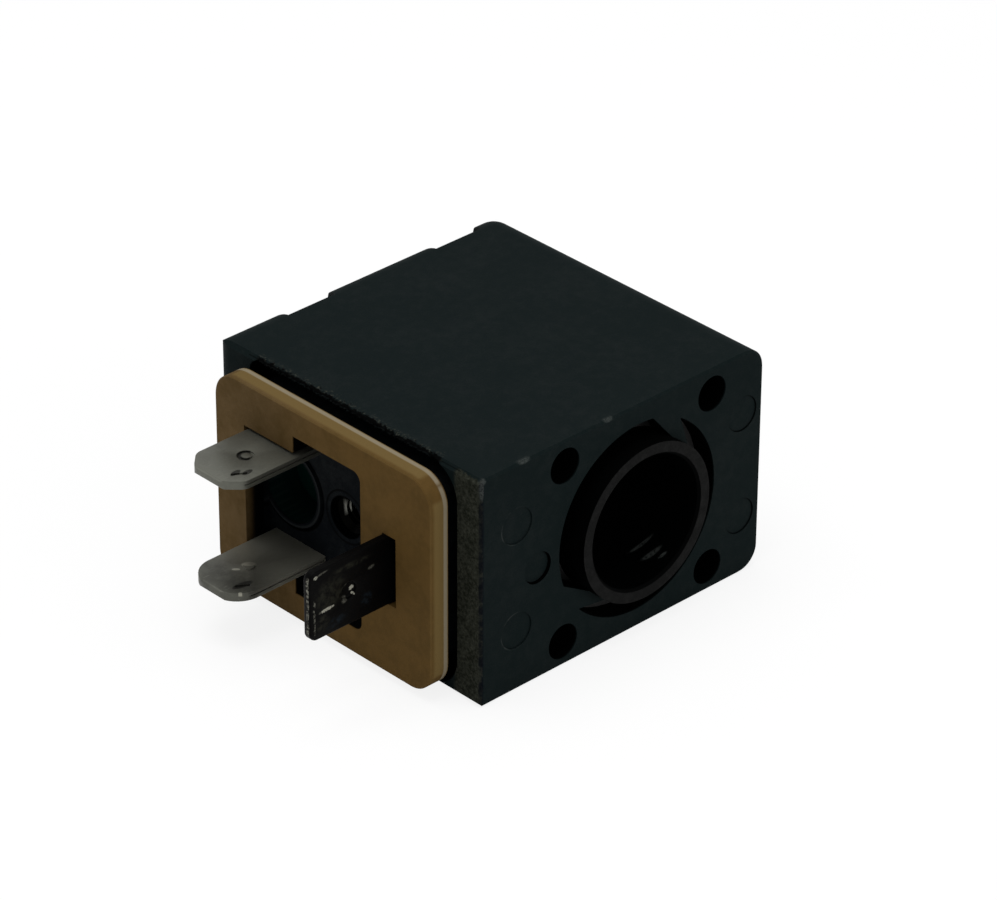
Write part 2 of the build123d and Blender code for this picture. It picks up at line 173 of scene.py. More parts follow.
class Paint(Tree):
    """One material under construction."""

    def __init__(self, name: str) -> None:
        """Start a material with an empty tree.

        Args:
            name: The material's name.
        """
        self.material = bpy.data.materials.new(name)
        self.material.use_nodes = True
        super().__init__(self.material.node_tree)
        self._axes: Optional[list[Wire]] = None

    @property
    def place(self) -> Wire:
        """The position on the object, in metres."""
        return self.add("ShaderNodeTexCoord", {}, {}, "Object")

    @property
    def axes(self) -> list[Wire]:
        """The position's three numbers, in millimetres.

        Returns:
            X, Y and Z.
        """
        if self._axes is None:
            spot = self.add("ShaderNodeVectorMath", {"operation": "SCALE"}, {0: self.place, "Scale": 1 / MM})
            split = self.add("ShaderNodeSeparateXYZ", {}, {0: spot}).socket.node
            self._axes = [Wire(self, output) for output in split.outputs]
        return self._axes

    def noise(
        self, grain: float, detail: float = 3.0, rough: float = 0.55, squeeze: Triple = (1, 1, 1)
    ) -> Wire:
        """Noise of a given grain.

        Args:
            grain: The size of one blot, in millimetres.
            detail: How many finer layers it has.
            rough: How strong the finer layers are.
            squeeze: Factors on the three axes, to stretch the pattern.

        Returns:
            A value round 0.5.
        """
        spot = self.place
        if squeeze != (1, 1, 1):
            spot = self.add("ShaderNodeMapping", {}, {"Vector": spot, "Scale": squeeze})
        inputs = {"Vector": spot, "Scale": 1 / (grain * MM), "Detail": detail, "Roughness": rough}
        return self.add("ShaderNodeTexNoise", {}, inputs, "Fac")

    def cells(self, grain: float) -> Wire:
        """Distance to the nearest of points scattered at a spacing in millimetres, 0 at a point."""
        inputs = {"Vector": self.place, "Scale": 1 / (grain * MM)}
        return self.add("ShaderNodeTexVoronoi", {}, inputs, "Distance")

    def mix(self, amount: Any, first: Any, second: Any) -> Wire:
        """Blend two colours, with 0 for the first and 1 for the second."""
        settings = {"data_type": "RGBA", "clamp_factor": True}
        return self.add("ShaderNodeMix", settings, {0: amount, 6: first, 7: second}, 2)

    def cover(self, colour: Any, *layers: Layer) -> Wire:
        """Lay colours over a first one.

        Args:
            colour: The first colour.
            layers: The mask and the colour of each further one, from below upwards.

        Returns:
            The colour that is seen.
        """
        for mask, shade in layers:
            colour = self.mix(mask, colour, shade)
        return colour

    def bump(self, height: Wire, depth: float, under: Optional[Wire] = None) -> Wire:
        """Relief of a given depth.

        Args:
            height: The relief, 0 to 1.
            depth: Its depth in millimetres.
            under: A coarser relief below it.

        Returns:
            The bent normal.
        """
        inputs: dict[Any, Any] = {"Height": height, "Distance": depth * MM, "Strength": 1.0}
        if under is not None:
            inputs["Normal"] = under
        return self.add("ShaderNodeBump", {}, inputs)

    def edges(self, low: Triple, high: Triple, width: float) -> Wire:
        """Mask that is 1 along the twelve edges of a box.

        Args:
            low: The box's lowest corner, in millimetres.
            high: Its highest corner.
            width: How far the mask reaches from an edge.

        Returns:
            The mask.
        """
        first, second, third = [
            abs(axis - (one + other) / 2) * -1 + (other - one) / 2
            for axis, one, other in zip(self.axes, low, high)
        ]
        middle = first.least(second).most(first.most(second).least(third))
        return middle.step(width, 0)

    def spot(self, centre: Centre, radius: float, soft: float = 0.3) -> Wire:
        """Round mask about a point, which fades over a share of its radius."""
        return self.away(centre).step(radius, radius * (1 - soft))

    def between(self, axis: Wire, low: Number, high: Number, soft: Number = 0.1) -> Wire:
        """Mask that is 1 between two values and fades outside them."""
        return axis.step(low - soft, low) * axis.step(high + soft, high)

    def ring(self, centre: Centre, inner: float, outer: float, soft: float = 0.08) -> Wire:
        """Mask of a ring about a point, which fades outside its two radii."""
        return self.between(self.away(centre), inner, outer, soft)

    def dash(self, centre: Centre, half_length: Number, half_width: Number, turn: Number = 0) -> Wire:
        """Soft stroke in a plane across one axis, the axis given as None.

        Args:
            centre: The stroke's middle, in millimetres.
            half_length: Half its length.
            half_width: Half its width.
            turn: Its angle to the first of the two axes, in degrees.

        Returns:
            The mask.
        """
        first, second = [axis - middle for axis, middle in zip(self.axes, centre) if middle is not None]
        cosine, sine = math.cos(math.radians(turn)), math.sin(math.radians(turn))
        along = (first * cosine + second * sine) / half_length
        across = (second * cosine - first * sine) / half_width
        return self.around((0.0, 0.0), (along, across)).step(1.0, 0.45)

    def strokes(self, strokes: Strokes, skipped: int) -> Wire:
        """Mask of several soft strokes.

        Args:
            strokes: For each, its middle's two numbers, half its length and width, and its angle.
            skipped: The axis that isn't counted: 0, 1 or 2.

        Returns:
            The mask.
        """
        total: Any = 0.0
        for one, other, half_length, half_width, turn in strokes:
            centre: list[Optional[float]] = [one, other]
            centre.insert(skipped, None)
            total = self.dash(centre, half_length, half_width, turn).most(total)
        return total

    def away(self, centre: Centre) -> Wire:
        """Distance from a point, in millimetres; an axis given as None isn't counted."""
        used = [(axis, middle) for axis, middle in zip(self.axes, centre) if middle is not None]
        return self.around([middle for _, middle in used], [axis for axis, _ in used])

    def around(self, centre: Sequence[float], axes: Sequence[Wire]) -> Wire:
        """Distance from a centre, in millimetres.

        Args:
            centre: The centre's numbers.
            axes: The coordinates that they are counted on.

        Returns:
            The distance.
        """
        total: Any = 0.0
        for axis, middle in zip(axes, centre):
            total = (axis - middle) * (axis - middle) + total
        return total ** 0.5

    def dress(self, **sockets: Any) -> Material:
        """Close the tree with a Principled shader, whose inputs have underscores for spaces."""
        inputs = {key.replace("_", " "): value for key, value in sockets.items()}
        return self.close(self.add("ShaderNodeBsdfPrincipled", {}, inputs))

    def close(self, skin: Wire) -> Material:
        """Link a shader to the material's output and return the finished material."""
        self.add("ShaderNodeOutputMaterial", {}, {"Surface": skin})
        return self.material


class Shade(Enum):
    """Plain colours of the coil's materials, as they look under plain light, and colours of painted light and
    shade.
    """

    BODY = (0.0045, 0.0078, 0.0080)
    BODY_PALE = (0.0110, 0.0140, 0.0140)
    # Near black: the phosphated steel's own colour, and painted shade in holes, grooves, openings and the
    # moat.
    BLACK_AND_PAINTED_SHADE = (0.0003, 0.0004, 0.0004)
    STRIP = (0.0064, 0.0074, 0.0050)
    STRIP_PALE = (0.0400, 0.0420, 0.0330)
    # Pale grey for worn edges and for painted highlights.
    WEAR_AND_HIGHLIGHT = (0.0500, 0.0560, 0.0530)
    SHADOW_BLUE = (0.0006, 0.0012, 0.0034)
    BLOCK = (0.0027, 0.0036, 0.0047)
    # Pale block tone, also used for painted light and highlights.
    BLOCK_PALE = (0.0130, 0.0150, 0.0155)
    WELL = (0.0015, 0.0115, 0.0088)
    # Painted highlight on the well's ticks.
    WELL_TICK_HIGHLIGHT = (0.0150, 0.0250, 0.0220)
    BOBBIN = (0.0060, 0.0061, 0.0060)
    BOBBIN_PALE = (0.0150, 0.0150, 0.0147)
    RUBBER = (0.0880, 0.0510, 0.0155)
    RUBBER_FAR = (0.0940, 0.0600, 0.0260)
    # Painted light on the gasket's top and near rim.
    RUBBER_LIT = (0.1230, 0.0820, 0.0300)
    # Painted highlight along the gasket's back edge.
    RUBBER_HIGHLIGHT = (0.2300, 0.2000, 0.1450)
    RUBBER_DARK = (0.0600, 0.0360, 0.0110)
    TIN = (0.0800, 0.0810, 0.0660)
    TIN_PALE = (0.1650, 0.1670, 0.1420)
    TIN_DARK = (0.0220, 0.0215, 0.0170)
    SOOT = (0.0011, 0.0010, 0.0010)
    # Pale colour of painted highlights and painted light on the blades.
    PAINTED_LIGHT = (0.2600, 0.2550, 0.2100)
    SOOT_OLIVE = (0.0120, 0.0120, 0.0085)
    # Painted blue reflection on the earth blade.
    BLUE_REFLECTION = (0.0055, 0.0085, 0.0115)
    # Dark stain of the stamp strokes, also used for painted shade round the boss.
    STAIN_AND_SHADE = (0.0060, 0.0062, 0.0042)
    PHOSPHATE = (0.0004, 0.0004, 0.0004)
    # Nickel painted near black as the shade inside the insert's mouth; the next is its painted highlight.
    NICKEL_IN_SHADE = (0.0012, 0.0012, 0.0010)
    NICKEL_GLEAM = (0.1300, 0.1300, 0.1150)
    COPPER = (0.4200, 0.1250, 0.0450)
    TAPE = (0.5500, 0.3400, 0.0400)
    SOLDER = (0.4200, 0.4250, 0.4300)


@dataclass
class Finish(Paint):
    """A finish of the coil, which is painted on the material of its own name."""

    name: str

    def __post_init__(self) -> None:
        """Start the material."""
        super().__init__(self.name)


@dataclass
class MouldedPlastic(Finish):
    """Matt moulded plastic with a fine grain and faint flow marks."""

    shade: Shade
    pale: Shade
    grain: float = 0.16
    relief: float = 0.010

    def make(self) -> Material:
        """Build the material.

        Returns:
            The finished material.
        """
        grain = self.noise(self.grain, 4, 0.6)
        flow = self.noise(6.0, 3, 0.5)
        dust = self.cells(0.55).step(0.10, 0.02)
        cloud = self.noise(1.0, 4, 0.6)
        pale = (grain.step(0.35, 0.85) * 0.5 + (flow - 0.5) * 0.8 + (cloud - 0.5) * 1.1 + dust * 0.3).most(0)
        return self.dress(
            Base_Color=self.cover(self.shade, (pale, self.pale), *self.marks()),
            Roughness=grain * 0.16 + 0.50,
            Specular_IOR_Level=0.012,
            Normal=self.bump(grain, self.relief, self.bump(flow, 0.03)),
        )

    def marks(self) -> list[Layer]:
        """The marks of the piece, from below upwards, of which plain plastic has none."""
        return []


@dataclass
class BodyPlastic(MouldedPlastic):
    """The body's moulding: worn and with painted highlights at its corners, granular beside the gasket, torn
    above it, and with painted shade in its hollows and on the moat's lip.
    """

    face: float = field(kw_only=True)
    screw_place: float = 8.6
    screw_radius: float = 1.65
    groove_radius: float = 9.15
    gate_place: float = -11.6
    gate_radius: float = 1.5
    pin_height: float = 5.1
    back_pins: float = 12.4
    terminal_pins: float = -14.0
    pin_radius: float = 1.7
    moat_rows: Pair = (2.6, 28.6)
    moat_half: float = 10.82
    lip_rows: Pair = (5.2, 27.4)
    lip_half: float = 10.5
    dark_depth: float = 9.0
    # Bright spots on the edges, partly wear and partly painted highlights.
    edge_wear_and_highlights: Strokes = (
        (-17.85, 10.85, 0.45, 0.40, 0),
        (-17.95, 10.00, 0.25, 1.10, 0),
        (-13.17, 11.0, 0.85, 0.35, 0),
        (-3.56, 11.0, 0.65, 0.30, 0),
    )

    def marks(self) -> list[Layer]:
        """The marks of the tool and of use, with painted shade and painted highlights."""
        shaded_hollows, wear_and_highlights = (self._shaded_hollows(), Shade.BLACK_AND_PAINTED_SHADE), (self._wear_and_highlights(), Shade.WEAR_AND_HIGHLIGHT)
        return [*self._strip(), shaded_hollows, *self._crumbs_and_lip_shade(), wear_and_highlights]

    def _strip(self) -> list[Layer]:
        """The granular strip of the terminal face and its dark edge.

        Returns:
            Two layers.
        """
        x, y, _ = self.axes
        side = (x + (self.noise(0.3, 2) - 0.5) * 0.5).step(self.face + 0.31, self.face + 0.17)
        grit = self.noise(0.25, 4, 0.7).step(0.30, 0.78) * 0.75 + (self.noise(1.1, 3) - 0.5) * 0.8
        strip = side * y.step(self.moat_rows[0] + 0.7, self.moat_rows[0] + 0.2)
        edge = x.step(self.face + 0.50, self.face + 0.25) * y.step(0.26, 0.14)
        edge = edge * self.noise(1.2, 3).step(0.25, 0.60) * 0.85
        return [(strip, self.mix(grit, Shade.STRIP, Shade.STRIP_PALE)), (edge, Shade.SHADOW_BLUE)]

    def _shaded_hollows(self) -> Wire:
        """Mask of the painted shade in the screw holes, the groove, the walls of the tool's marks and the
        moat.

        Returns:
            The mask.
        """
        x, y, z = self.axes
        screws = (self.screw_place, self.screw_place)
        hole = self.around(screws, (abs(x), abs(z))).step(self.screw_radius + 0.09, self.screw_radius + 0.03)
        groove = self.away((0.0, None, 0.0)).step(self.groove_radius + 0.09, self.groove_radius + 0.03)
        # Painted shade: the holes and the groove are painted black down to a depth.
        inside = hole.most(groove) * y.step(0.02, 0.20) * y.step(self.dark_depth, self.dark_depth - 1)
        gate = self.ring((self.gate_place, None, 0.0), self.gate_radius - 0.08, self.gate_radius + 0.06, 0.05)
        pin = self.around((self.back_pins, self.pin_height), (x, abs(z)))
        pins = self.between(pin, self.pin_radius - 0.08, self.pin_radius + 0.04, 0.04)
        moat = self.between(x, self.face + 0.20, self.face + 5.15, 0.02) * self.between(y, *self.moat_rows)
        shadow = moat * abs(z).step(self.moat_half + 0.02, self.moat_half)
        return inside.most(gate * y.step(0.02, 0.06)).most(pins * y.step(0.01, 0.04) * 0.7).most(shadow)

    def _crumbs_and_lip_shade(self) -> list[Layer]:
        """The grey crumbs along the lip above the moat, and the black painted shade of the moat on the lip,
        with a torn edge.

        Returns:
            Two layers.
        """
        x, y, z = self.axes
        spikes = self.noise(0.42, 3, 0.7).step(0.46, 0.74) * 0.50
        wander = (self.noise(1.6, 2) - 0.5) * 0.5
        depth = x + (-0.29 - self.face) - spikes - wander
        ends = self.between(y + wander, *self.lip_rows, 0.5)
        along = ends * abs(z).step(self.lip_half - 0.2, self.lip_half)
        crumbs = self.noise(0.24, 3, 0.7).step(0.52, 0.66) * depth.step(0.75, 0.15)
        # Painted shade: the moat's shadow painted black over the lip, up to its ragged edge.
        lip_shade = depth.step(0.10, -0.02) * along
        return [(crumbs * along * 0.8, Shade.STRIP_PALE), (lip_shade, Shade.BLACK_AND_PAINTED_SHADE)]

    def _wear_and_highlights(self) -> Wire:
        """Mask of the bright spots on the edges, partly wear and partly painted highlights, and of the
        painted highlights on the lit arcs of two pin marks.

        Returns:
            The mask.
        """
        x, y, z = self.axes
        rough = self.noise(0.12, 3).step(0.20, 0.70)
        # Bright edge spots: partly wear, partly painted highlights.
        worn = self.strokes(self.edge_wear_and_highlights, 1) * y.step(0.60, 0.10) * rough * 0.75
        # Painted highlights on the lit side of two pin marks' rims.
        pin = self.around((self.terminal_pins, self.pin_height), (x, abs(z)))
        arc = self.between(pin, self.pin_radius - 0.04, self.pin_radius + 0.06, 0.08) * y.step(0.10, 0.02)
        lit = x.step(self.terminal_pins + 1, self.terminal_pins - 1)
        broken = self.noise(1.3, 3, 0.6).step(0.40, 0.60)
        return worn.most(arc * lit * broken * 0.35)


@dataclass
class CollarPlastic(MouldedPlastic):
    """The bobbin's plastic: grey on the collar's end, with black painted shade behind it and in the bore, and
    a few painted highlights in the bore.
    """

    end_face: float = -1.15
    bore_radius: float = 6.2
    gleam_top: float = -3.6
    # Painted highlights low on the bore's wall.
    gleams: Strokes = (
        (3.15, 2.70, 1.45, 0.24, -20),
        (2.95, 1.20, 1.15, 0.34, -20),
        (3.30, 0.20, 0.50, 0.20, -20),
    )

    def marks(self) -> list[Layer]:
        """The black painted shade of everything behind the end face, and the bore's gleams, which are painted
        highlights.

        Returns:
            Two layers.
        """
        x, y, z = self.axes
        # Painted shade: everything behind the collar's end face is black.
        shade_behind = y.step(self.end_face + 0.01, self.end_face + 0.05)
        wall = self.around((0.0, 0.0), (x, z)).step(self.bore_radius + 0.4, self.bore_radius + 0.2)
        low = z.step(self.gleam_top, self.gleam_top - 0.6) * wall
        broken = self.noise(0.4, 3, 0.6).step(0.25, 0.55)
        gleams = self.strokes(self.gleams, 2) * low * broken * 0.8
        return [(shade_behind, Shade.BLACK_AND_PAINTED_SHADE), (gleams, Shade.WEAR_AND_HIGHLIGHT)]


@dataclass
class BlockPlastic(MouldedPlastic):
    """The terminal block's plastic, with a dark well, painted highlights on its ticks and lip, painted light
    on its upper face, and painted shade in thin lines round its two mouths and in the insert's mouth.
    """

    mouths: float = -17.9
    well_row: float = 23.6
    well_radius: float = 3.5
    well_rim: Pair = (3.60, 3.75)
    well_line: Pair = (3.95, 4.15)
    insert_row: float = 16.7
    insert_radius: float = 2.02
    insert_line: Pair = (2.40, 2.52)
    tick_count: int = 30
    # Where painted light makes the upper face lighter, and how far it reaches.
    light_place: Pair = (18.8, 4.6)
    light_reach: float = 4.6

    def marks(self) -> list[Layer]:
        """The dark well, painted highlights on its ticks and rim, painted light on the upper face, and
        painted shade in the black lines and the mouth.

        Returns:
            Four layers.
        """
        x, y, z = self.axes
        well, insert = (None, self.well_row, 0.0), (None, self.insert_row, 0.0)
        inside = self.spot(well, self.well_radius, 0.05) * x.step(self.mouths, self.mouths + 0.2)
        turn = z.angle(y - self.well_row) * (self.tick_count / 2)
        ticks = abs(turn.sine()).step(0.75, 0.98) * self.between(x, self.mouths + 0.3, self.mouths + 1.7, 0.3)
        lines = self.ring(well, *self.well_line, 0.06).most(self.ring(insert, *self.insert_line, 0.06))
        mouth = self.spot(insert, self.insert_radius, 0.02) * x.step(self.mouths - 0.1, self.mouths + 0.1)
        rim = self.ring(well, *self.well_rim, 0.06) * x.step(self.mouths + 0.2, self.mouths)
        light_patch = self.spot((None, *self.light_place), self.light_reach, 0.9)
        light_patch = light_patch * self.noise(0.8, 4, 0.7).step(0.30, 0.70) * (1 - inside)
        # Painted highlights on ticks and rim, painted light on the upper face, painted shade in lines and
        # mouth.
        return [
            (inside, Shade.WELL),
            (inside * ticks * 0.4, Shade.WELL_TICK_HIGHLIGHT),
            ((rim * 0.8).most(light_patch * 0.7), Shade.BLOCK_PALE),
            ((lines * 0.85).most(mouth), Shade.BLACK_AND_PAINTED_SHADE),
        ]


@dataclass
class GasketRubber(Finish):
    """Matt tan silicone rubber, mottled, with painted light on its rim, a painted highlight along its back
    edge and painted shade inside its openings.
    """

    low: Triple
    high: Triple
    far_rows: Pair = (10.0, 27.0)
    window: Pair = (11.2, 26.5)
    window_half: float = 7.95
    narrow_row: float = 20.0
    narrow_half: float = 6.0
    slot: Pair = (7.0, 9.3)
    slot_half: float = 3.6

    def make(self) -> Material:
        """Build the material.

        Returns:
            The finished material.
        """
        grain = self.noise(0.12, 4, 0.6)
        blots = self.noise(2.6, 4, 0.6)
        pores = self.cells(0.4).step(0.13, 0.03)
        mottle = blots.step(0.35, 0.70) * 0.55 + (self.noise(0.5, 3, 0.6) - 0.5) * 0.9
        base = self.cover(
            Shade.RUBBER,
            (self.axes[1].step(*self.far_rows), Shade.RUBBER_FAR),
            (mottle, Shade.RUBBER_DARK),
            # Painted light on the rim, a painted highlight on the back edge, and painted shade in the
            # openings.
            (self._lit_rim(), Shade.RUBBER_LIT),
            (self._back_highlight(), Shade.RUBBER_HIGHLIGHT),
            (pores * 0.25, Shade.RUBBER_DARK),
            (self._shaded_openings(), Shade.BLACK_AND_PAINTED_SHADE),
        )
        return self.dress(
            Base_Color=base,
            Roughness=0.62 + grain * 0.2,
            Specular_IOR_Level=0.02,
            Normal=self.bump(grain, 0.012, self.bump(blots, 0.05)),
        )

    def _lit_rim(self) -> Wire:
        """Mask of the painted light on the rim's top and near faces, and of painted highlights on the edges
        all round.

        Returns:
            The mask.
        """
        x, y, z = self.axes
        top = z.step(self.high[2] - 0.2, self.high[2] - 0.05)
        near = y.step(self.low[1] + 0.2, self.low[1] + 0.05)
        edge = self.edges(self.low, self.high, 0.25) * 0.25
        return (top.most(near) * x.step(self.low[0] + 0.10, self.low[0] + 0.6)).most(edge)

    def _back_highlight(self) -> Wire:
        """Mask of the painted highlight, a cream line along the back edge.

        Returns:
            The mask.
        """
        x, y, z = self.axes
        above = z.step(self.high[2] - 0.9, self.high[2] - 0.5)
        outside = above.most(y.step(self.low[1] + 0.9, self.low[1] + 0.5))
        return self.between(x, self.high[0] - 0.50, self.high[0] - 0.25, 0.15) * outside * 0.75

    def _shaded_openings(self) -> Wire:
        """Mask of the painted shade on the inner walls, which gets darker with depth.

        Returns:
            The mask.
        """
        x, y, z = self.axes
        window = self.between(y, *self.window, 0.02) * abs(z).step(self.window_half, self.window_half - 0.02)
        slot = self.between(y, *self.slot, 0.02) * abs(z).step(self.slot_half, self.slot_half - 0.02)
        near = y.step(self.narrow_row + 0.1, self.narrow_row)
        narrow = near * abs(z).step(self.narrow_half, self.narrow_half + 0.1)
        deep = window.most(slot) * x.step(self.low[0] + 0.11, self.low[0] + 1.16)
        return deep.most(window * narrow * x.step(self.low[0] + 0.02, self.low[0] + 0.16))


@dataclass
class TinPlate(Finish):
    """Dull tin plate on sheet metal, with draw lines along the blade, bright edges that are partly rubbed and
    partly painted highlights, a painted highlight at the tip and painted light towards the root.
    """

    low: Triple
    high: Triple
    stains: Strokes
    # Painted highlights on the blade's top.
    gleams: Strokes = ()
    # Whether painted shade rings the boss's punch mark.
    boss_shade_ring: bool = False
    boss: Pair = (-23.71, 22.58)
    boss_radii: Pair = (0.46, 0.76)
    darkness: float = 0.0
    root: Pair = (-26.5, -21.5)
    # How much painted light lightens the blade towards its root.
    root_painted_light: float = 0.12
    tip_length: float = 4.0

    def make(self) -> Material:
        """Build the material.

        Returns:
            The finished material.
        """
        x, _, z = self.axes
        lines = self.noise(0.10, 4, 0.7, (0.08, 1, 1))
        blots = self.noise(1.4, 4, 0.6)
        fine = self.noise(0.07, 3, 0.6)
        edge = self.edges(self.low, self.high, 0.22)
        scratch = self.noise(0.16, 2, 0.5, (0.15, 1, 1)).step(0.66, 0.74)
        speck = (self.noise(0.28, 3, 0.7) - 0.5) * 0.7
        tarnish = blots.step(0.42, 0.70) * (0.30 + self.darkness * 0.6) + self.darkness + speck
        # Painted highlight: the outer end made lighter.
        tip = x.step(self.low[0] + self.tip_length, self.low[0])
        # Pale: scratches and draw lines, with edges partly rubbed and partly painted highlights, and the
        # painted tip highlight.
        rubs_and_highlights = edge * 0.65 + scratch * 0.3 + lines.step(0.55, 0.8) * 0.15 + tip * 0.3
        top = z.step(self.high[2] - 0.5, self.high[2] - 0.3)
        layers = [
            (tarnish, Shade.TIN_DARK),
            (rubs_and_highlights, Shade.TIN_PALE),
            # Painted light: the blade lighter towards its root.
            (x.step(*self.root) * self.root_painted_light, Shade.PAINTED_LIGHT),
            (self._dark() * top, Shade.STAIN_AND_SHADE),
        ]
        # Painted highlights on the blade's top.
        if self.gleams:
            layers.append((self.strokes(self.gleams, 2).step(0.05, 0.60) * top, Shade.PAINTED_LIGHT))
        return self.dress(
            Base_Color=self.cover(Shade.TIN, *layers),
            Metallic=0.85 - blots * 0.2,
            Roughness=0.36 + fine * 0.16 + tarnish * 0.08,
            Normal=self.bump(lines * 0.6 + fine * 0.4, 0.006),
        )

    def _dark(self) -> Wire:
        """Mask of the dark stamp strokes, and of the painted shade ring in the boss's punch mark, open on one
        side.

        Returns:
            The mask.
        """
        worn = self.noise(0.12, 3, 0.6).step(0.30, 0.6) * 0.3 + 0.7
        strokes = self.strokes(self.stains, 2).step(0.05, 0.55) * worn
        if not self.boss_shade_ring:
            return strokes
        x, y, _ = self.axes
        opening = (x - y - (self.boss[0] - self.boss[1])).step(0.60, 0.35)
        # Painted shade in the punch mark round the boss.
        return strokes.most(self.ring((*self.boss, None), *self.boss_radii, 0.12) * opening * 0.95)


@dataclass
class BurntPlate(Finish):
    """Tin plate blackened and glossy, with painted highlights as bright gleams and a bright ridge at its
    outer end, and painted blue reflections.
    """

    tip: float
    row: float = 8.47
    top_edge: float = 3.1
    ridge: Pair = (-2.6, 0.4)
    gleams: Strokes = (
        (-24.82, -0.02, 0.36, 0.30, 30),
        (-24.78, -0.52, 0.16, 0.15, 0),
        (-28.93, 2.75, 0.30, 0.24, 20),
        (-27.76, -0.75, 1.05, 0.22, 4),
    )
    faint_gleams: Strokes = (
        (-25.80, -0.70, 0.45, 0.32, 20),
        (-22.86, 1.26, 0.45, 0.22, 10),
        (-28.30, 2.9, 0.9, 0.12, 8),
        (-25.6, 0.55, 0.35, 0.16, 0),
    )
    olive: Strokes = (
        (-27.3, 0.6, 2.2, 1.9, 20),
        (-28.2, -1.9, 0.9, 1.0, 0),
        (-25.0, 2.4, 2.6, 0.35, 0),
    )
    # Painted blue reflections.
    blue_reflections: Strokes = (
        (-26.78, -2.34, 1.4, 0.6, 8),
        (-23.4, -1.6, 0.8, 0.8, 0),
    )

    def make(self) -> Material:
        """Build the material.

        Returns:
            The finished material.
        """
        cloud = self.noise(0.9, 4, 0.65)
        fine = self.noise(0.14, 3, 0.6)
        broken = fine.step(0.34, 0.56)
        patch = self.noise(0.5, 4, 0.7)
        olive = self.strokes(self.olive, 1) * patch.step(0.35, 0.65)
        blue_reflections = self.strokes(self.blue_reflections, 1) * patch.step(0.40, 0.65)
        faint = self.strokes(self.faint_gleams, 1) * broken * 0.22
        stroke = self.strokes(self.gleams, 1)
        ragged = (stroke + (fine - 0.5) * 3.0).step(0.35, 0.95) * stroke.step(0.0, 0.30)
        # Painted highlights: gleams, ridges and faint gleams.
        bright = ragged.most(self._ridge_highlights() * broken).most(faint)
        layers = (olive, Shade.SOOT_OLIVE), (blue_reflections, Shade.BLUE_REFLECTION), (bright, Shade.PAINTED_LIGHT)
        return self.dress(
            Base_Color=self.cover(Shade.SOOT, *layers),
            Metallic=0.2,
            Roughness=0.34 + cloud * 0.15,
            Specular_IOR_Level=0.03,
            Normal=self.bump(cloud, 0.04),
        )

    def _ridge_highlights(self) -> Wire:
        """Mask of the painted highlights, bright lines at the outer end.

        Returns:
            The mask.
        """
        x, y, z = self.axes
        wander = (self.noise(0.8, 2) - 0.5) * 0.35
        dots = self.noise(0.30, 3, 0.6).step(0.42, 0.60)
        face = x.step(self.tip + 0.12, self.tip + 0.02)
        face = face * self.between(y + wander, self.row - 0.22, self.row - 0.02, 0.08)
        ridge = self.between(x + wander, self.tip + 0.42, self.tip + 0.54, 0.07)
        ridge = ridge * self.between(z, *self.ridge, 0.3)
        top = z.step(self.top_edge - 0.15, self.top_edge)
        top = top * self.between(y, self.row - 0.8, self.row - 0.55, 0.06)
        return (face * (dots * 0.6 + 0.03)).most(ridge * dots * 0.5).most(top * dots * 0.25)


@dataclass
class PlainMetal(Finish):
    """Metal with a soft satin grain and small blots."""

    shade: Shade
    pale: Shade
    roughness: float = 0.35
    metallic: float = 1.0

    def make(self) -> Material:
        """Build the material.

        Returns:
            The finished material.
        """
        grain = self.noise(0.09, 4, 0.6)
        return self.dress(
            Base_Color=self.mix(self.blots(grain), self.shade, self.pale),
            Metallic=self.metallic,
            Roughness=self.roughness + grain * 0.15,
            Normal=self.bump(grain, 0.004),
        )

    def blots(self, grain: Wire) -> Wire:
        """Mask of the pale blots, which doesn't follow the grain."""
        return self.noise(1.1, 3, 0.55).step(0.4, 0.75) * 0.5


@dataclass
class NickelPlate(PlainMetal):
    """Nickel painted dark as the shade of its mouth, with one painted highlight on the wall that the light
    reaches.
    """

    gleam: Pair = (17.90, 0.15)
    gleam_sizes: Pair = (0.26, 1.0)

    def blots(self, grain: Wire) -> Wire:
        """Mask of the gleam, broken by the grain."""
        return self.dash((None, *self.gleam), *self.gleam_sizes) * grain.step(0.25, 0.45)


@dataclass
class WireEnamel(Finish):
    """Copper seen through clear enamel."""

    def make(self) -> Material:
        """Build the material.

        Returns:
            The finished material.
        """
        shift = self.noise(1.5, 3)
        fine = self.noise(0.08, 3)
        return self.dress(
            Base_Color=self.mix(shift.step(0.35, 0.7) * 0.5, Shade.COPPER, Shade.TAPE),
            Metallic=0.9,
            Roughness=0.26 + fine * 0.12,
            Coat_Weight=0.5 + fine * 0.2,
            Normal=self.bump(fine, 0.003),
        )


@dataclass
class PolyesterTape(Finish):
    """Glossy yellow tape that wrinkles a little over the wire below."""

    def make(self) -> Material:
        """Build the material.

        Returns:
            The finished material.
        """
        wrinkle = self.noise(1.2, 3, 0.5, (1, 3, 1))
        turns = self.noise(0.26, 1, 0.5, (0.05, 1, 0.05))
        return self.dress(
            Base_Color=self.mix(wrinkle.step(0.3, 0.8) * 0.4, Shade.TAPE, Shade.COPPER),
            Roughness=0.18 + wrinkle * 0.2,
            Normal=self.bump(wrinkle * 0.7 + turns * 0.3, 0.02),
        )


def stand(name: str, data: ID) -> Object:
    """Put a new object in the scene.

    Args:
        name: Its name.
        data: Its mesh, lamp or camera.

    Returns:
        The object.
    """
    thing = bpy.data.objects.new(name, data)
    bpy.context.scene.collection.objects.link(thing)
    return thing


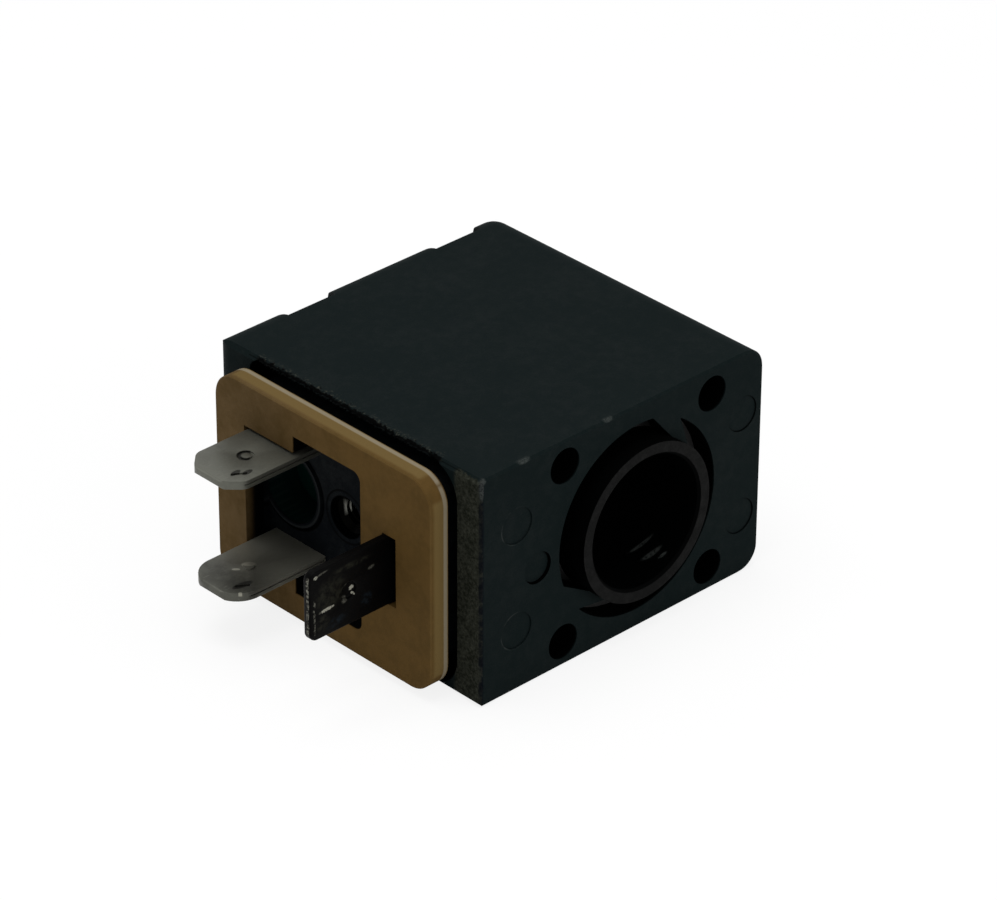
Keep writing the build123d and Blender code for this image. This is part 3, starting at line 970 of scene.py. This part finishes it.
class Growth(Tree):
    """A Geometry Nodes tree that is run once and turned into a plain mesh."""

    def __init__(self, name: str, sizes: dict[str, Number]) -> None:
        """Start a tree with named inputs.

        Args:
            name: The tree's name.
            sizes: Its inputs and their values for this piece.
        """
        self.group = bpy.data.node_groups.new(name, "GeometryNodeTree")
        super().__init__(self.group)
        self.sizes = sizes
        sockets = self.group.interface
        for key, value in sizes.items():
            kind = "NodeSocketInt" if isinstance(value, int) else "NodeSocketFloat"
            sockets.new_socket(name=key, in_out="INPUT", socket_type=kind)
        sockets.new_socket(name="Material", in_out="INPUT", socket_type="NodeSocketMaterial")
        sockets.new_socket(name="Mesh", in_out="OUTPUT", socket_type="NodeSocketGeometry")

    def size(self, name: str) -> Wire:
        """The value of one named input."""
        return self.add("NodeGroupInput", {}, {}, name)

    def random(self, low: Triple, high: Triple) -> Wire:
        """A random vector for each point, drawn from the input Seed between two others."""
        inputs = {"Min": low, "Max": high, "Seed": self.size("Seed")}
        return self.add("FunctionNodeRandomValue", {"data_type": "FLOAT_VECTOR"}, inputs)

    def coil(self, steps: int, sides: int, place: Triple, turn: Triple) -> Wire:
        """Wind a wire in a spiral, from the inputs Turns, Radius, Length and Section.

        Args:
            steps: The number of points in one turn.
            sides: The number of sides that the wire has.
            place: Where the spiral starts, in millimetres.
            turn: How the spiral is turned from upright, in degrees.

        Returns:
            The closed tube.
        """
        radius = self.size("Radius")
        winding = {"Resolution": steps, "Rotations": self.size("Turns"), "Height": self.size("Length")}
        winding |= {"Start Radius": radius, "End Radius": radius}
        spiral = self.add("GeometryNodeCurveSpiral", {}, winding)
        circle = {"Resolution": sides, "Radius": self.size("Section")}
        section = self.add("GeometryNodeCurvePrimitiveCircle", {}, circle)
        sweep = {"Curve": spiral, "Profile Curve": section, "Fill Caps": True}
        tube = self.add("GeometryNodeCurveToMesh", {}, sweep)
        bend = [math.radians(angle) for angle in turn]
        laid = {"Geometry": tube, "Translation": Vector(place) * MM, "Rotation": bend}
        return self.add("GeometryNodeTransform", {}, laid)

    def grow(self, shape: Wire, name: str, material: Material) -> Object:
        """Close the tree, run it and keep the result as a mesh object.

        Args:
            shape: The geometry to end with.
            name: The piece's name.
            material: The finish that the tree sets.

        Returns:
            A mesh object without modifiers.
        """
        real = self.add("GeometryNodeRealizeInstances", {}, {0: shape})
        done = self.add("GeometryNodeSetMaterial", {}, {0: real, "Material": self.size("Material")})
        self.add("NodeGroupOutput", {}, {0: done})
        seed = stand(name + "_seed", bpy.data.meshes.new(name + "_seed"))
        modifier = seed.modifiers.new("grow", "NODES")
        modifier.node_group = self.group
        for item in self.group.interface.items_tree:
            if item.in_out == "INPUT":
                modifier[item.identifier] = self.sizes.get(item.name, material)
        live = seed.evaluated_get(bpy.context.evaluated_depsgraph_get())
        mesh = bpy.data.meshes.new_from_object(live)
        bpy.data.objects.remove(seed)
        mesh.name = name
        return stand(name, mesh)


class Piece:
    """Helpers that every sub-assembly shares."""

    @staticmethod
    def node(name: str) -> Object:
        """The CAD node of that name."""
        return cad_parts[name]

    @staticmethod
    def box(node: str) -> tuple[Triple, Triple]:
        """The lowest and highest corner of a CAD node, in millimetres."""
        return tuple(tuple(v / MM for v in corner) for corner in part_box(node))

    @staticmethod
    def paint(name: str, material: Material) -> None:
        """Give a CAD node its finish.

        Args:
            name: The node.
            material: The finish.
        """
        mesh = Piece.node(name).data
        mesh.materials.clear()
        mesh.materials.append(material)
        log.info("dressed %s in %s", name, material.name)

    @staticmethod
    def settle(piece: Object, slot: str, replaced: Sequence[str] = ()) -> None:
        """Parent a new piece to the root empty and hide the CAD nodes that it stands for.

        Args:
            piece: The mesh object, in its place.
            slot: The record's material slot; not used.
            replaced: CAD nodes that it stands for.
        """
        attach(piece, "root")
        if replaced:
            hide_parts(*replaced)
        log.info("made %s with %d faces", piece.name, len(piece.data.polygons))

    @staticmethod
    def smooth(piece: Object, angle: float = 35.0) -> None:
        """Shade a mesh smooth but for the edges from a given angle in degrees."""
        piece.data.polygons.foreach_set("use_smooth", [True] * len(piece.data.polygons))
        piece.data.set_sharp_from_angle(angle=math.radians(angle))

    @staticmethod
    def soften(node: str, name: str, width: float, cuts: Sequence[Plane]) -> Object:
        """Copy a CAD node and round its sharp edges.

        Args:
            node: The CAD node.
            name: The new piece's name.
            width: The width of the rounding, in millimetres.
            cuts: Planes that trim the copy first, each a point and a normal that points outwards.

        Returns:
            The rounded copy.
        """
        mesh = Piece.node(node).data.copy()
        mesh.name = name
        work = bmesh.new()
        work.from_mesh(mesh)
        flat = math.radians(FLAT_ANGLE)
        bmesh.ops.remove_doubles(work, verts=work.verts, dist=MERGE_DISTANCE * MM)
        bmesh.ops.dissolve_limit(work, angle_limit=flat, verts=work.verts, edges=work.edges)
        for point, normal in cuts:
            Piece.trim(work, point, normal)
        steep = math.radians(EDGE_ANGLE)
        sharp = [e for e in work.edges if len(e.link_faces) == 2 and e.calc_face_angle(0) > steep]
        sizes = {"offset": width * MM, "segments": BEVEL_STRIPS, "profile": 0.5}
        bmesh.ops.bevel(work, geom=sharp, offset_type="OFFSET", affect="EDGES", clamp_overlap=True, **sizes)
        bmesh.ops.triangulate(work, faces=[f for f in work.faces if len(f.verts) > 4])
        bmesh.ops.recalc_face_normals(work, faces=work.faces)
        work.to_mesh(mesh)
        work.free()
        piece = stand(name, mesh)
        Piece.smooth(piece)
        return piece

    @staticmethod
    def trim(work: bmesh.types.BMesh, point: Vector, normal: Vector) -> None:
        """Cut off what lies beyond a plane and close the cut.

        Args:
            work: The mesh.
            point: A point of the plane, in metres.
            normal: The plane's normal, on the side that goes.
        """
        whole = work.verts[:] + work.edges[:] + work.faces[:]
        plane = {"dist": CUT_DISTANCE * MM, "plane_co": point, "plane_no": normal}
        cut = bmesh.ops.bisect_plane(work, geom=whole, clear_outer=True, **plane)
        rim = [item for item in cut["geom_cut"] if isinstance(item, bmesh.types.BMEdge)]
        if rim:
            bmesh.ops.contextual_create(work, geom=rim)


@dataclass
class Body(Piece):
    """The moulded body and the flash that its tool left."""

    lip_height: float = 10.82
    lip_rows: Pair = (6.0, 27.0)
    lip_face: float = -18.08
    flake_count: int = 150
    flake_size: float = 0.22
    flake_sides: int = 5
    flake_shifts: tuple[Triple, Triple] = ((-0.05, -0.08, -0.02), (0.06, 0.08, 0.04))
    flake_turns: tuple[Triple, Triple] = ((-0.5, -2.2, -0.6), (0.5, -1.2, 0.6))
    flake_scales: tuple[Triple, Triple] = ((0.15, 0.35, 0.3), (0.4, 1.0, 1.2))
    seed: int = 7

    def build(self) -> None:
        """Dress the body and grow the ragged flash on the moat's lip."""
        face = self.box("housing")[0][0]
        self.paint("housing", BodyPlastic("body_moulding", Shade.BODY, Shade.BODY_PALE, face=face).make())
        self.grow_flash()

    def grow_flash(self) -> None:
        """Make small torn flakes along the lip of the moat, coloured near black as painted shade of the moat.
        """
        sizes = {"Count": self.flake_count, "Size": self.flake_size * MM, "Seed": self.seed}
        growth = Growth("torn_lip", sizes)
        start, end = [Vector((self.lip_face, row, self.lip_height)) * MM for row in self.lip_rows]
        line = growth.add("GeometryNodeCurvePrimitiveLine", {}, {"Start": start, "End": end})
        row = {"Curve": line, "Count": growth.size("Count")}
        points = growth.add("GeometryNodeCurveToPoints", {"mode": "COUNT"}, row)
        shift = growth.random(*(Vector(limit) * MM for limit in self.flake_shifts))
        moved = growth.add("GeometryNodeSetPosition", {}, {"Geometry": points, "Offset": shift})
        size = growth.size("Size")
        cone = {"Vertices": self.flake_sides, "Radius Top": 0.0, "Radius Bottom": size, "Depth": size}
        flakes = {
            "Points": moved,
            "Instance": growth.add("GeometryNodeMeshCone", {}, cone),
            "Rotation": growth.random(*self.flake_turns),
            "Scale": growth.random(*self.flake_scales),
        }
        spread = growth.add("GeometryNodeInstanceOnPoints", {}, flakes)
        # The flakes are painted near black as the moat's shade.
        skin = MouldedPlastic("flash", Shade.BLACK_AND_PAINTED_SHADE, Shade.BODY, grain=0.08).make()
        self.settle(growth.grow(spread, "moat_flash", skin), "moulding")


@dataclass
class Core(Piece):
    """Everything that the moulding hides, and the bobbin's collar."""

    wire_radius: float = 0.13
    wire_centre: float = 8.96
    wire_sides: int = 6
    turn_steps: int = 40
    first_turn: float = 5.34
    last_turn: float = 27.46
    core_radius: float = 8.93
    tube_radius: float = 7.42
    core_overhang: float = 0.1
    core_steps: int = 96

    def build(self) -> None:
        """Dress the hidden pieces and wind the coil's outer layer."""
        black_steel = PlainMetal("phosphated_steel", Shade.PHOSPHATE, Shade.BLACK_AND_PAINTED_SHADE, 0.6, 0.0).make()
        for name in ("front_pole_plate", "rear_pole_plate", "yoke_strap"):
            self.paint(name, black_steel)
        plastic = CollarPlastic("bobbin_plastic", Shade.BOBBIN, Shade.BOBBIN_PALE, grain=0.30, relief=0.016)
        self.paint("bobbin", plastic.make())
        enamel = WireEnamel("wire_enamel").make()
        self.paint("start_lead", enamel)
        self.paint("finish_lead", enamel)
        self.paint("insulation_tape", PolyesterTape("polyester_tape").make())
        self.paint("solder_joints", PlainMetal("solder", Shade.SOLDER, Shade.TIN_PALE, 0.22).make())
        self.wind(enamel)

    def wind(self, enamel: Material) -> None:
        """Wind the outer layer on a solid ring of the layers below.

        Args:
            enamel: The wire's finish.
        """
        length = self.last_turn - self.first_turn
        sizes: dict[str, Number] = {
            "Turns": length / (2 * self.wire_radius),
            "Radius": self.wire_centre * MM,
            "Length": length * MM,
            "Section": self.wire_radius * MM,
        }
        growth = Growth("winding_layer", sizes)
        laid = growth.coil(self.turn_steps, self.wire_sides, (0, self.first_turn, 0), (-90, 0, 0))
        piece = growth.grow(laid, "winding_turns", enamel)
        self.smooth(piece, 60)
        self.add_core(piece.data)
        self.settle(piece, "copper_wire", ["winding"])

    def add_core(self, mesh: Mesh) -> None:
        """Add the closed ring of the inner layers to the wound layer.

        Args:
            mesh: The wound layer's mesh.
        """
        start, end = self.first_turn - self.core_overhang, self.last_turn + self.core_overhang
        inner, outer = self.tube_radius, self.core_radius
        outline = [(inner, start), (outer, start), (outer, end), (inner, end)]
        work = bmesh.new()
        work.from_mesh(mesh)
        rows = []
        for step in range(self.core_steps):
            angle = 2 * math.pi * step / self.core_steps
            ring = [(r * math.cos(angle) * MM, y * MM, r * math.sin(angle) * MM) for r, y in outline]
            rows.append([work.verts.new(place) for place in ring])
        fresh = []
        for one, other in zip(rows, rows[1:] + rows[:1]):
            for k, after in ((0, 1), (1, 2), (2, 3), (3, 0)):
                fresh.append(work.faces.new((one[k], one[after], other[after], other[k])))
        bmesh.ops.recalc_face_normals(work, faces=fresh)
        work.to_mesh(mesh)
        work.free()


@dataclass
class Terminals(Piece):
    """The terminal block with its insert and the three blades."""

    insert_row: float = 16.7
    thread_start: float = -16.6
    thread_end: float = -12.3
    thread_radius: float = 1.27
    thread_ridge: float = 0.16
    thread_pitch: float = 0.5
    thread_sides: int = 4
    thread_steps: int = 32
    blade_rounding: float = 0.22
    blade_width: float = 6.3
    blade_chamfer: float = 1.5
    chamfer_angle: float = 45.0
    upper_corner: float = 1.3
    lower_corner: float = 2.5
    corner_leans: tuple[float, ...] = (-14, -5, 5, 14)

    def build(self) -> None:
        """Dress the block and make the blades and the thread."""
        block = BlockPlastic("terminal_plastic", Shade.BLOCK, Shade.BLOCK_PALE, grain=0.13, relief=0.008)
        self.paint("terminal_block", block.make())
        nickel = NickelPlate("nickel_plate", Shade.NICKEL_IN_SHADE, Shade.NICKEL_GLEAM, 0.30).make()
        self.paint("threaded_insert", nickel)
        self.cut_thread(nickel)
        upper = TinPlate(
            "upper_tin_plate",
            *self.box("upper_power_blade"),
            stains=((-26.20, 21.05, 0.72, 0.34, 10), (-25.42, 20.46, 0.72, 0.34, 4)),
            boss_shade_ring=True,
        )
        lower = TinPlate(
            "lower_tin_plate",
            *self.box("lower_power_blade"),
            stains=((-25.95, 20.80, 1.25, 0.46, -7),),
            gleams=(
                (-26.95, 19.95, 0.20, 0.20, 0),
                (-24.75, 23.04, 0.45, 0.20, -44),
                (-23.45, 22.85, 0.80, 0.52, -44),
            ),
            darkness=0.60,
            # Strong painted light towards the root of the lower blade.
            root_painted_light=0.66,
        )
        earth = BurntPlate("burnt_plate", self.box("earth_blade")[0][0])
        for node, plate, corner in (
            ("upper_power_blade", upper, self.upper_corner),
            ("lower_power_blade", lower, self.lower_corner),
        ):
            self.make_blade(node, plate.make(), self.corner_cuts(node, corner))
        self.make_blade("earth_blade", earth.make(), [])

    def make_blade(self, node: str, plate: Material, cuts: Sequence[Plane]) -> None:
        """Round a blade's edges and give it its finish.

        Args:
            node: The CAD node.
            plate: The finish.
            cuts: Planes that trim its corners.
        """
        piece = self.soften(node, node + "_plated", self.blade_rounding, cuts)
        piece.data.materials.clear()
        piece.data.materials.append(plate)
        self.settle(piece, "tinned_brass", [node])

    def corner_cuts(self, node: str, radius: float) -> list[Plane]:
        """Planes that round the two corners on each side of a power blade's outer end.

        Args:
            node: The blade's CAD node.
            radius: The radius of the corners, in millimetres.

        Returns:
            A point and an outward normal for each plane, in metres.
        """
        low, high = self.box(node)
        middle = (low[1] + high[1]) / 2
        half = self.blade_width / 2
        half_bend = math.radians(self.chamfer_angle / 2)
        tip = Vector((low[0], half - self.blade_chamfer, 0))
        flank = Vector((low[0] + self.blade_chamfer, half, 0))
        planes = []
        for facing, corner in ((half_bend, tip), (3 * half_bend, flank)):
            centre = corner - self.outward(facing) * radius / math.cos(half_bend)
            for lean in self.corner_leans:
                normal = self.outward(facing + math.radians(lean))
                point = centre + normal * radius
                for side in (1, -1):
                    place = Vector((point.x, middle + point.y * side, 0)) * MM
                    planes.append((place, Vector((normal.x, normal.y * side, 0))))
        return planes

    @staticmethod
    def outward(angle: float) -> Vector:
        """The direction at an angle in radians from -X towards +Y."""
        return Vector((-math.cos(angle), math.sin(angle), 0))

    def cut_thread(self, nickel: Material) -> None:
        """Make the thread inside the insert.

        Args:
            nickel: The insert's finish.
        """
        length = self.thread_end - self.thread_start
        sizes: dict[str, Number] = {
            "Turns": length / self.thread_pitch,
            "Radius": self.thread_radius * MM,
            "Length": length * MM,
            "Section": self.thread_ridge * MM,
        }
        growth = Growth("insert_thread", sizes)
        place = (self.thread_start, self.insert_row, 0)
        laid = growth.coil(self.thread_steps, self.thread_sides, place, (0, 90, 0))
        piece = growth.grow(laid, "insert_thread", nickel)
        self.smooth(piece, 40)
        self.settle(piece, "brass")


@dataclass
class Seal(Piece):
    """The flat gasket."""

    def build(self) -> None:
        """Dress the gasket."""
        self.paint("gasket", GasketRubber("gasket_rubber", *self.box("gasket")).make())


@dataclass
class Studio:
    """Floor, lights, background and the camera of the photograph."""

    floor_height: float = -11.0
    floor_half: float = 3000.0
    floor_colour: Triple = (0.95, 0.95, 0.95)
    floor_glow: float = 0.85
    camera_turn: float = -43.58
    camera_rise: float = 31.018
    camera_roll: float = 0.263
    camera_distance: float = 433.803
    camera_target: Triple = (-2.687, 14.150, 1.490)
    camera_reach: Pair = (0.01, 20)
    focal_pixels: float = 5092.302
    picture_width: int = 997
    sensor: float = 36.0
    world_level: float = 0.55
    mirror_level: float = 1.0
    lamp_aim: Triple = (-2, 15, 0)
    key_place: Triple = (-60, 40, 420)
    key_size: float = 300
    key_power: float = 1.15
    side_place: Triple = (120, -380, 150)
    side_size: float = 220
    side_share: float = 0.35

    def build(self) -> None:
        """Set up everything round the part."""
        self.lay_floor()
        self.light_world()
        self.add_lamp("overhead", self.key_place, self.key_size, self.key_power)
        self.add_lamp("bore_side", self.side_place, self.side_size, self.key_power * self.side_share)
        self.place_camera()
        bpy.context.scene.view_settings.view_transform = "Standard"

    def lay_floor(self) -> None:
        """Make the pale floor, nearly white to the camera but still shadowed."""
        mesh = bpy.data.meshes.new("floor")
        half, z = self.floor_half * MM, self.floor_height * MM
        corners = [(-half, -half, z), (half, -half, z), (half, half, z), (-half, half, z)]
        mesh.from_pydata(corners, [], [(0, 1, 2, 3)])
        floor = stand("floor", mesh)
        paint = Paint("floor")
        matt = paint.add("ShaderNodeBsdfDiffuse", {}, {"Color": self.floor_colour})
        glow = paint.add("ShaderNodeEmission", {}, {"Color": WHITE, "Strength": 1.0})
        share = paint.add("ShaderNodeLightPath", {}, {}, "Is Camera Ray") * self.floor_glow
        mesh.materials.append(paint.close(paint.add("ShaderNodeMixShader", {}, {0: share, 1: matt, 2: glow})))

    def light_world(self) -> None:
        """Light evenly from all round, and show white to the camera and in reflections."""
        world = bpy.data.worlds.new("studio")
        bpy.context.scene.world = world
        world.use_nodes = True
        sky = Tree(world.node_tree)
        rays = ("Is Camera Ray", "Is Glossy Ray", "Is Transmission Ray")
        seen, mirrored, through = [sky.add("ShaderNodeLightPath", {}, {}, ray) for ray in rays]
        gain = mirrored * (self.mirror_level - self.world_level)
        level = seen.most(through) * (1 - self.world_level) + gain + self.world_level
        shown = sky.add("ShaderNodeBackground", {}, {"Color": WHITE, "Strength": level})
        sky.add("ShaderNodeOutputWorld", {}, {"Surface": shown})

    def add_lamp(self, name: str, place: Triple, size: float, power: float) -> None:
        """Hang one soft square lamp that faces the part.

        Args:
            name: Its name.
            place: Where it hangs, in millimetres.
            size: Its side, in millimetres.
            power: Its power in watts.
        """
        data = bpy.data.lights.new(name, "AREA")
        data.shape = "SQUARE"
        data.size = size * MM
        data.energy = power
        lamp = stand(name, data)
        lamp.location = Vector(place) * MM
        lamp.rotation_mode = "QUATERNION"
        lamp.rotation_quaternion = (Vector(self.lamp_aim) - Vector(place)).to_track_quat("-Z", "Y")

    def place_camera(self) -> None:
        """Stand the camera where the photograph was taken."""
        turn, rise = math.radians(self.camera_turn), math.radians(self.camera_rise)
        back = Vector((math.sin(turn) * math.cos(rise), -math.cos(turn) * math.cos(rise), math.sin(rise)))
        data = bpy.data.cameras.new("camera")
        data.sensor_fit = "HORIZONTAL"
        data.sensor_width = self.sensor
        data.lens = self.focal_pixels * self.sensor / self.picture_width
        data.clip_start, data.clip_end = self.camera_reach
        camera = stand("camera", data)
        facing = (-back).to_track_quat("-Z", "Y").to_matrix().to_4x4()
        spin = Matrix.Rotation(math.radians(self.camera_roll), 4, "Z")
        where = (Vector(self.camera_target) + back * self.camera_distance) * MM
        camera.matrix_world = Matrix.Translation(where) @ facing @ spin
        bpy.context.scene.camera = camera


def main() -> None:
    """Build the sub-assemblies in order."""
    logging.basicConfig(level=logging.INFO, format="%(message)s")
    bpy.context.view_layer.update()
    for part in (Body(), Core(), Terminals(), Seal(), Studio()):
        part.build()
        log.info("finished %s", type(part).__name__)


if __name__ == "__main__":
    main()
